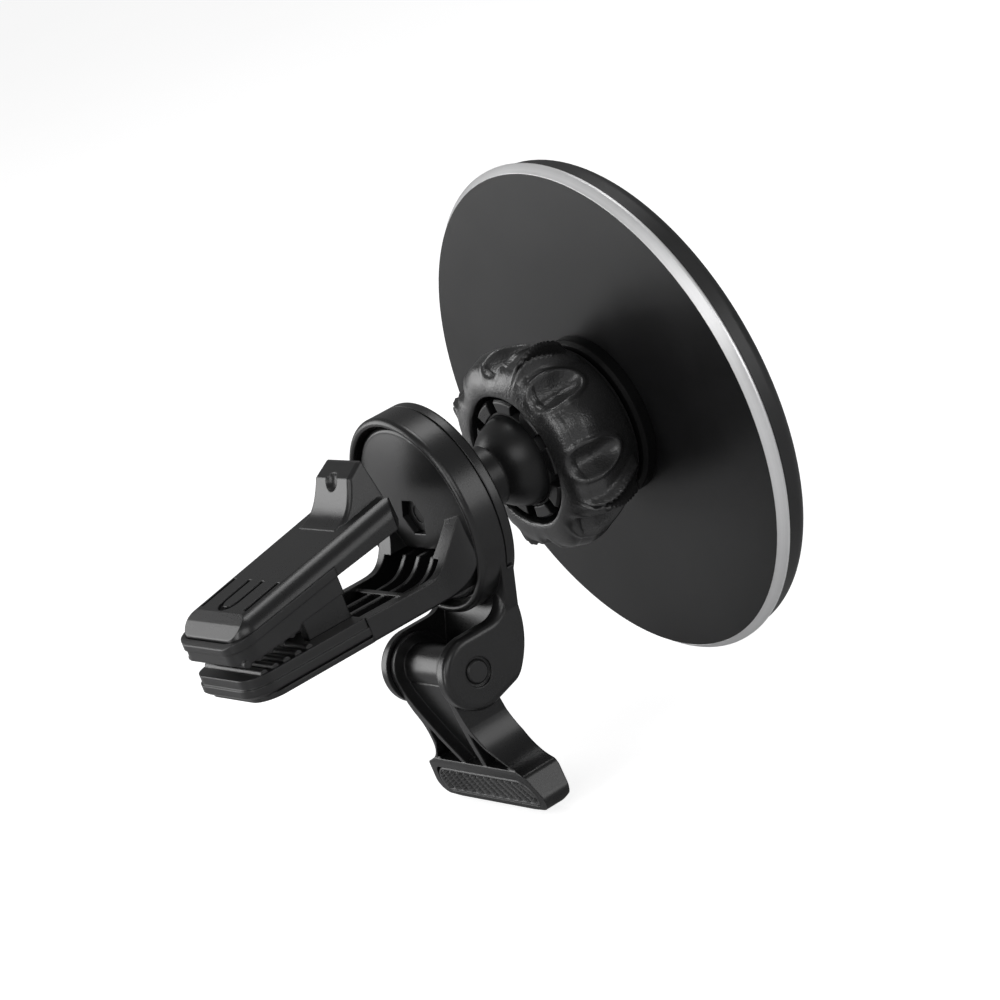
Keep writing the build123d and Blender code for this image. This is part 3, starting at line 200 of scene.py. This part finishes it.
AXIS_LOW, AXIS_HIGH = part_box("trim_ring")
AXIS = (Vector(AXIS_LOW) + Vector(AXIS_HIGH)) / 2

SATIN = moulded("satin_abs", (0.009, 0.009, 0.0094), 0.30, depth_mm=0.003, spread=0.03, shine=0.58)
PLATE = moulded("plate_lacquer", (0.009, 0.009, 0.0095), 0.34, grain_mm=0.10, depth_mm=0.001, edge_mm=0.1,
                spread=0.03, shine=0.42)
BEZEL = moulded("bezel_plastic", (0.016, 0.016, 0.0165), 0.42, grain_mm=0.12, depth_mm=0.004)
BALL = moulded("ball_acetal", (0.010, 0.010, 0.0105), 0.36, grain_mm=0.12, depth_mm=0.001, edge_mm=0.3,
               spread=0.02)
INNER = moulded("socket_acetal", (0.030, 0.030, 0.031), 0.48, grain_mm=0.2, depth_mm=0.005)
PAD = moulded("pad_tpu", (0.009, 0.009, 0.0094), 0.36, grain_mm=0.09, depth_mm=0.003, edge_mm=0.25,
              shine=0.55)
HATCH = moulded("sole_tpu", (0.075, 0.075, 0.076), 0.42, grain_mm=0.07, depth_mm=0.006, edge_mm=0.03)
SILICONE = moulded("disc_silicone", (0.017, 0.017, 0.0175), 0.62, grain_mm=0.08, depth_mm=0.008, edge_mm=0.15)
GRAIN = leather_grain("nut_grain", (0.020, 0.020, 0.0204), 0.32)
TRIM = turned_metal("trim_bright", (0.96, 0.96, 0.965), 0.36, AXIS, metal=0.55)
STEEL = turned_metal("zinc_steel", (0.56, 0.56, 0.57), 0.34, AXIS)
DARK_PIN = moulded("blackened_pin", (0.016, 0.016, 0.0165), 0.38, grain_mm=0.2, depth_mm=0.004, edge_mm=0.12)
NICKEL = turned_metal("nickel_plate", (0.66, 0.65, 0.62), 0.22, AXIS)
# painted shade: a darker, duller copy of the socket plastic, for the flange in the nut's shade
COLLAR_PAINTED_SHADE = moulded("socket_collar_painted_shade", (0.004, 0.004, 0.0042), 0.5, grain_mm=0.2, depth_mm=0.004, shine=0.15)

LOOKS = {
    "plate_back": PLATE, "trim_ring": TRIM, "bezel": BEZEL, "grip_disc": SILICONE,
    "magnet_carrier": INNER, "ring_magnets": NICKEL, "yoke_ring": STEEL, "ball_socket": SATIN,
    "plate_screws": STEEL, "ball_liner": SILICONE, "ball_seat": SILICONE, "clamp_ring": INNER,
    "clamp_nut": GRAIN, "ball_stud": BALL, "stud_screw": DARK_PIN, "drum_cap": SATIN,
    "hex_nut": DARK_PIN, "friction_washer": STEEL, "foot_bracket": SATIN, "foot_pin": DARK_PIN,
    "foot_leg": SATIN, "foot_pad": HATCH, "clip_base": SATIN, "lower_jaw_pad": PAD,
    "jaw_pivot_pin": STEEL, "jaw_spring": STEEL, "upper_jaw": SATIN, "upper_jaw_pad": PAD,
}


def dress(obj, material):
    obj.data.materials.clear()
    obj.data.materials.append(material)


for node, material in LOOKS.items():
    dress(frame["nodes"][node], material)


# the socket's flange is darker and duller than its fingers: partly its own darker tone, partly painted shade
# for the shade that falls behind the nut
SHADED_FLANGE_DEPTH = 2.6 * MM
socket = frame["nodes"]["ball_socket"]
socket.data.materials.append(COLLAR_PAINTED_SHADE)
socket_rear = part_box("ball_socket")[0][1]
for face in socket.data.polygons:
    if face.center.y < socket_rear + SHADED_FLANGE_DEPTH:
        face.material_index = 1


# ---------------------------------------------------------------- pieces
def mesh_piece(name, verts, faces, material, smooth=True):
    """A mesh object from metres in the row frame."""
    mesh = bpy.data.meshes.new(name)
    mesh.from_pydata([tuple(v) for v in verts], [], faces)
    mesh.validate()
    mesh.update()
    bm = bmesh.new()
    bm.from_mesh(mesh)
    bmesh.ops.recalc_face_normals(bm, faces=bm.faces)
    bm.to_mesh(mesh)
    bm.free()
    obj = bpy.data.objects.new(name, mesh)
    bpy.context.scene.collection.objects.link(obj)
    for p in mesh.polygons:
        p.use_smooth = smooth
    obj.data.materials.append(material)
    return obj


def smooth_step(x, a, b):
    """Smooth rise from 0 at a to 1 at b; falls when a is the larger."""
    t = np.clip((x - a) / (b - a), 0, 1)
    return t * t * (3 - 2 * t)


def angle_gap(phi, centre, period):
    """Signed distance in degrees from the nearest of the evenly spaced features."""
    return (phi - centre + period / 2) % period - period / 2


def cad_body(node):
    """The body that owns a CAD node."""
    for body, nodes in frame["record"]["behaviour"]["bodies"].items():
        if node in nodes:
            return body
    raise ValueError(node)


# the nut's own lengths: mm from the plate's back face, and radii
NUT_REAR, NUT_FRONT = 2.05, 12.6
NUT_BORE_R, NUT_MOUTH_R = 7.12, 7.8
NUT_BORE_END, NUT_MOUTH_END = 8.7, 11.4
NUT_HEEL_R, HEEL_ROUND = 8.75, 0.35
WALL_LENGTH, WALL_R = 8.6, 9.1
BELLY_RISE, BELLY_POWER = 2.6, 0.9
SHOULDER_FALL, SHOULDER_POWER = 6.05, 1.5
FRONT_R, LIP_R, LIP_DEPTH = 8.35, 8.15, 0.3

# sculpting: eight oval dents and four pleats round the nut, in degrees and mm
DENT_AT, DENT_PERIOD, DENT_COUNT = 41.0, 45.0, 8
DENT_Y, DENT_REAR, DENT_AHEAD = 9.2, 3.4, 3.9
DENT_HALF, DENT_OPENING = 9.0, 2.0
DENT_DEPTH, RIM_HEIGHT, RIM_AT, RIM_WIDTH = 1.25, 0.36, 1.08, 0.17
FOLD_AT, FOLD_PERIOD = 61.0, 90.0
FOLD_START, FOLD_SPREAD = 1.2, 7.0
RIDGE_HEIGHT, RIDGE_WIDTH, RIDGE_POWER = 1.4, 1.3, 1.4
LOBE_HEIGHT = 0.38
NUT_STEPS = 540


def nut_profile():
    """Closed outline (y, r, weight of the sculpting) of the clamp nut."""
    points = [(NUT_REAR, NUT_BORE_R, 0), (NUT_REAR, NUT_HEEL_R - 0.05, 0)]
    wall_start = NUT_REAR + HEEL_ROUND
    for a in np.radians(np.linspace(0, 90, 6)):
        points.append((wall_start - HEEL_ROUND * math.cos(a), NUT_HEEL_R + HEEL_ROUND * math.sin(a), 0.1))
    for t in np.linspace(0.03, 1, 70):
        belly = BELLY_RISE * math.sin(math.pi / 2 * min(1, t * 1.25)) ** BELLY_POWER
        r = WALL_R + belly - SHOULDER_FALL * max(0, t - 0.8) ** SHOULDER_POWER
        points.append((wall_start + t * WALL_LENGTH, r, smooth_step(t, 0.0, 0.25)))
    y0, r0 = points[-1][0], points[-1][1]
    for a in np.radians(np.linspace(4, 90, 22)):
        s, c = math.sin(a), math.cos(a)
        points.append((y0 + (NUT_FRONT - y0) * s, FRONT_R + (r0 - FRONT_R) * c, 0.25 + 0.75 * c))
    for a in np.radians(np.linspace(15, 90, 6)):
        s, c = math.sin(a), math.cos(a)
        points.append((NUT_FRONT - LIP_DEPTH * (1 - c), LIP_R - (LIP_R - NUT_MOUTH_R) * s, 0.12))
    points += [(NUT_MOUTH_END, NUT_MOUTH_R, 0), (NUT_BORE_END + 0.05, NUT_MOUTH_R, 0)]
    points.append((NUT_BORE_END, NUT_BORE_R, 0))
    return points


def nut_sculpt(phi, y):
    """How far the nut's surface stands out, in mm: finger dents, pleats and lobes."""
    # oval dents, steepest at their rear end
    gap = angle_gap(phi, DENT_AT, DENT_PERIOD)
    lean = (y - DENT_Y) / np.where(y < DENT_Y, DENT_REAR, DENT_AHEAD)
    q = np.hypot(lean, gap / (DENT_HALF + DENT_OPENING * smooth_step(y, 8.5, 12.0)))
    floor = np.where(q < 1, (1 - np.minimum(q, 1) ** 2) ** 1.3, 0)
    rim = np.exp(-(((q - RIM_AT) / RIM_WIDTH) ** 2))
    dent = (RIM_HEIGHT * rim - DENT_DEPTH * floor) * (0.45 + 0.55 * smooth_step(y, 12.7, 11.4))
    # pleats: two ridges that start together at the front and spread to the rear
    fold = np.abs(angle_gap(phi, FOLD_AT, FOLD_PERIOD))
    half = FOLD_START + FOLD_SPREAD * smooth_step(y, 11.8, 3.6)
    ridge = np.exp(-((np.abs(fold - half) / RIDGE_WIDTH) ** RIDGE_POWER))
    inside = np.where(fold < half, 1 - (fold / half) ** 2, 0)
    span = smooth_step(y, 2.6, 4.4) * smooth_step(y, 12.5, 11.2)
    pleat = (RIDGE_HEIGHT * ridge - inside) * span
    # broad lobes between the dents
    wave = np.cos(np.radians(DENT_COUNT * (phi - DENT_AT)))
    return dent + pleat - LOBE_HEIGHT * wave * smooth_step(y, 4.0, 8.0)


def build_nut():
    """The sculpted clamp nut, turned from its outline."""
    low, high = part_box("clamp_nut")
    cx, cz = (low[0] + high[0]) / 2, (low[2] + high[2]) / 2
    shift_y = low[1] / MM - NUT_REAR
    profile = nut_profile()
    count = NUT_STEPS
    phi = np.arange(count) * 360.0 / count
    verts = []
    a = np.radians(phi)
    for y, r, weight in profile:
        rr = r + weight * nut_sculpt(phi, np.full(count, y))
        xs, zs = cx - rr * np.cos(a) * MM, cz + rr * np.sin(a) * MM
        ys = np.full(count, (y + shift_y) * MM)
        verts += list(zip(xs, ys, zs))
    faces = []
    rows = len(profile)
    for i in range(rows):
        j = (i + 1) % rows
        for k in range(count):
            m = (k + 1) % count
            faces.append((i * count + k, i * count + m, j * count + m, j * count + k))
    nut = mesh_piece("nut_sculpted", verts, faces, GRAIN)
    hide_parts("clamp_nut")
    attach(nut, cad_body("clamp_nut"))


# the sole's pad, in mm: a leaning trapezoid with round corners
PAD_W, PAD_H, PAD_LEAN, PAD_CORNER, PAD_SPREAD = 19.8, 3.5, 12.9, 1.6, 0.0431
PAD_INSET = 0.38
SOLE_GRID = (408, 92)
BORDER_IN, BORDER_OUT, BORDER_HEIGHT = 0.25, 0.42, 0.16
RIB_PITCH, RIB_SLANT, RIB_HEIGHT = 1.55, 0.50, 0.30
TOOTH_PITCH, TOOTH_SLANT, TOOTH_DEPTH = 0.50, 0.55, 0.40


def build_sole():
    """Hatched rubber of the foot: slanted ribs crossed by fine lines, with a plain border."""
    low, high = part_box("foot_pad")
    lean = math.radians(PAD_LEAN)
    up = Vector((0, math.sin(lean), math.cos(lean)))
    out = Vector((0, math.cos(lean), -math.sin(lean)))
    side = Vector((1, 0, 0))
    centre = (Vector(low) + Vector(high)) / 2
    thick = ((high[1] - low[1]) / MM - PAD_H * math.sin(lean)) / math.cos(lean)
    nx, nz = SOLE_GRID
    flat_u, flat_v = PAD_W / 2 - PAD_CORNER, PAD_H / 2 - PAD_CORNER
    across, upward = np.linspace(-PAD_W / 2, PAD_W / 2, nx), np.linspace(-PAD_H / 2, PAD_H / 2, nz)
    grid_u, grid_v = np.meshgrid(across, upward)
    # square grid pulled into round corners
    inner_u = np.maximum(np.abs(grid_u) - flat_u, 0)
    inner_v = np.maximum(np.abs(grid_v) - flat_v, 0)
    length = np.hypot(inner_u, inner_v)
    scale = np.where(length > 1e-9, np.maximum(inner_u, inner_v) / np.maximum(length, 1e-9), 1)
    u = np.sign(grid_u) * (np.minimum(np.abs(grid_u), flat_u) + inner_u * scale)
    v = np.sign(grid_v) * (np.minimum(np.abs(grid_v), flat_v) + inner_v * scale)
    wider = 1 - PAD_SPREAD * v
    edge = PAD_CORNER - np.hypot(np.maximum(np.abs(u) - flat_u, 0), np.maximum(np.abs(v) - flat_v, 0))
    field = smooth_step(edge, 0.30, BORDER_OUT)
    # wide slanted ribs, and fine teeth along each
    along = (u - RIB_SLANT * v) / RIB_PITCH
    tooth = (v + TOOTH_SLANT * u) / TOOTH_PITCH
    wide = smooth_step(np.abs((along % 1) - 0.5), 0.47, 0.38)
    fine = 0.5 + 0.5 * np.cos(2 * np.pi * tooth)
    relief = field * (RIB_HEIGHT * (1 - wide) - TOOTH_DEPTH * wide * (1 - fine))
    border = BORDER_HEIGHT * (1 - smooth_step(edge, BORDER_IN, 0.40)) * smooth_step(edge, 0, 0.12)
    height = thick / 2 - PAD_INSET + relief + border

    def place(i, k, depth):
        return centre + side * (u[i, k] * wider[i, k] * MM) + up * (v[i, k] * MM) + out * (depth * MM)

    verts, faces = [], []
    for i in range(nz):
        for k in range(nx):
            verts.append(place(i, k, height[i, k]))
    for i in range(nz - 1):
        for k in range(nx - 1):
            a = i * nx + k
            faces.append((a, a + 1, a + nx + 1, a + nx))
    loop = [(0, k) for k in range(nx)] + [(i, nx - 1) for i in range(1, nz)]
    loop += [(nz - 1, k) for k in range(nx - 2, -1, -1)] + [(i, 0) for i in range(nz - 2, 0, -1)]
    base = len(verts)
    for i, k in loop:
        verts.append(place(i, k, -thick / 2))
    for m in range(len(loop)):
        a, b = loop[m], loop[(m + 1) % len(loop)]
        faces.append((a[0] * nx + a[1], b[0] * nx + b[1], base + (m + 1) % len(loop), base + m))
    faces.append(tuple(base + m for m in range(len(loop))))
    sole = mesh_piece("sole_hatched", verts, faces, HATCH)
    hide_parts("foot_pad")
    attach(sole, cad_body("foot_pad"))


build_nut()
build_sole()


# ---------------------------------------------------------------- floor, light, camera
# half the sheet's width, and its gap under the object, in metres
FLOOR_HALF, FLOOR_GAP = 6.0, 0.0006
PAPER_DARK, PAPER_LIGHT = (0.55, 0.55, 0.555), (0.57, 0.57, 0.575)
# brightness added for the camera only, and the surroundings' strength as a light
FLOOR_GLOW, WORLD_LIGHT = 0.80, 0.20
# the point that the lamps face
MIDDLE = Vector((0, -0.02, 0))


def floor_material():
    """Pale paper that glows for the camera only, and throws little light back."""
    n = Nodes("floor_paper")
    cloud = n.noise(90.0, 3.0)
    n.link(n.tint(n.ramp(cloud, 0, 1), PAPER_DARK, PAPER_LIGHT), n.shader.inputs["Base Color"])
    n.shader.inputs["Roughness"].default_value = 0.9
    n.shader.inputs["Specular IOR Level"].default_value = 0.2
    glow = n.add("ShaderNodeEmission")
    seen = n.add("ShaderNodeLightPath").outputs["Is Camera Ray"]
    n.link(n.math("MULTIPLY", seen, FLOOR_GLOW), glow.inputs["Strength"])
    both = n.add("ShaderNodeAddShader")
    n.link(n.shader.outputs[0], both.inputs[0])
    n.link(glow.outputs[0], both.inputs[1])
    n.link(both.outputs[0], n.tree.nodes["Material Output"].inputs["Surface"])
    return n.material


def build_floor():
    """A wide sheet just under the object's lowest point."""
    low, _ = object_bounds()
    z = low[2] - FLOOR_GAP
    size = FLOOR_HALF
    verts = [(-size, -size, z), (size, -size, z), (size, size, z), (-size, size, z)]
    floor = mesh_piece("floor_sheet", verts, [(0, 1, 2, 3)], floor_material(), smooth=False)


def area_light(name, place, target, size, power):
    """A rectangular lamp at place, facing target."""
    light = bpy.data.lights.new(name, "AREA")
    light.shape = "RECTANGLE"
    light.size, light.size_y = size
    light.energy = power
    obj = bpy.data.objects.new(name, light)
    obj.location = place
    obj.rotation_euler = (Vector(target) - Vector(place)).to_track_quat("-Z", "Y").to_euler()
    bpy.context.scene.collection.objects.link(obj)


def build_world():
    """White surroundings for the camera, dimmer ones for the light on the object."""
    world = bpy.data.worlds.new("studio")
    bpy.context.scene.world = world
    world.use_nodes = True
    tree = world.node_tree
    back = tree.nodes["Background"]
    back.inputs["Color"].default_value = (1, 1, 1, 1)
    seen = tree.nodes.new("ShaderNodeLightPath").outputs["Is Camera Ray"]
    level = tree.nodes.new("ShaderNodeMapRange")
    level.inputs["To Min"].default_value = WORLD_LIGHT
    level.inputs["To Max"].default_value = 1.0
    tree.links.new(seen, level.inputs["Value"])
    tree.links.new(level.outputs["Result"], back.inputs["Strength"])


# camera axes in the row frame, and its place in mm
CAMERA_RIGHT = Vector((-0.527481, -0.772057, -0.354530))
CAMERA_UP = Vector((0.030884, -0.434457, 0.900163))
CAMERA_BACK = Vector((-0.849005, 0.463869, 0.253012))
CAMERA_PLACE = Vector((-353.114, 159.066, 106.250)) * MM
CAMERA_LENS = 135.127


def build_camera():
    """The camera, solved for the photographed view."""
    data = bpy.data.cameras.new("camera")
    data.sensor_width = 36.0
    data.lens = CAMERA_LENS
    data.clip_start, data.clip_end = 0.02, 50.0
    camera = bpy.data.objects.new("camera", data)
    axes = Matrix((CAMERA_RIGHT, CAMERA_UP, CAMERA_BACK)).transposed().to_4x4()
    camera.matrix_world = Matrix.Translation(CAMERA_PLACE) @ axes
    bpy.context.scene.collection.objects.link(camera)
    bpy.context.scene.camera = camera


build_floor()
build_world()
build_camera()
# name, direction from the middle, distance, size and power
LAMPS = (
    ("key_left", (0.80, 0.52, 0.14), 0.62, (0.42, 0.55), 2.3),
    ("top_soft", (0.10, -0.28, 0.95), 0.60, (0.24, 0.24), 0.9),
    ("fill_right", (-0.86, -0.50, 0.12), 0.62, (0.30, 0.42), 0.9),
    ("side_soft", (-0.72, 0.52, 0.45), 0.62, (0.36, 0.30), 0.7),
    ("front_strip", (-0.15, 0.95, 0.30), 0.60, (0.16, 0.45), 0.9),
)
for name, direction, distance, size, power in LAMPS:
    area_light(name, MIDDLE + distance * Vector(direction), MIDDLE, size, power)

scene = bpy.context.scene
scene.view_settings.view_transform = "Standard"
scene.view_settings.look = "None"
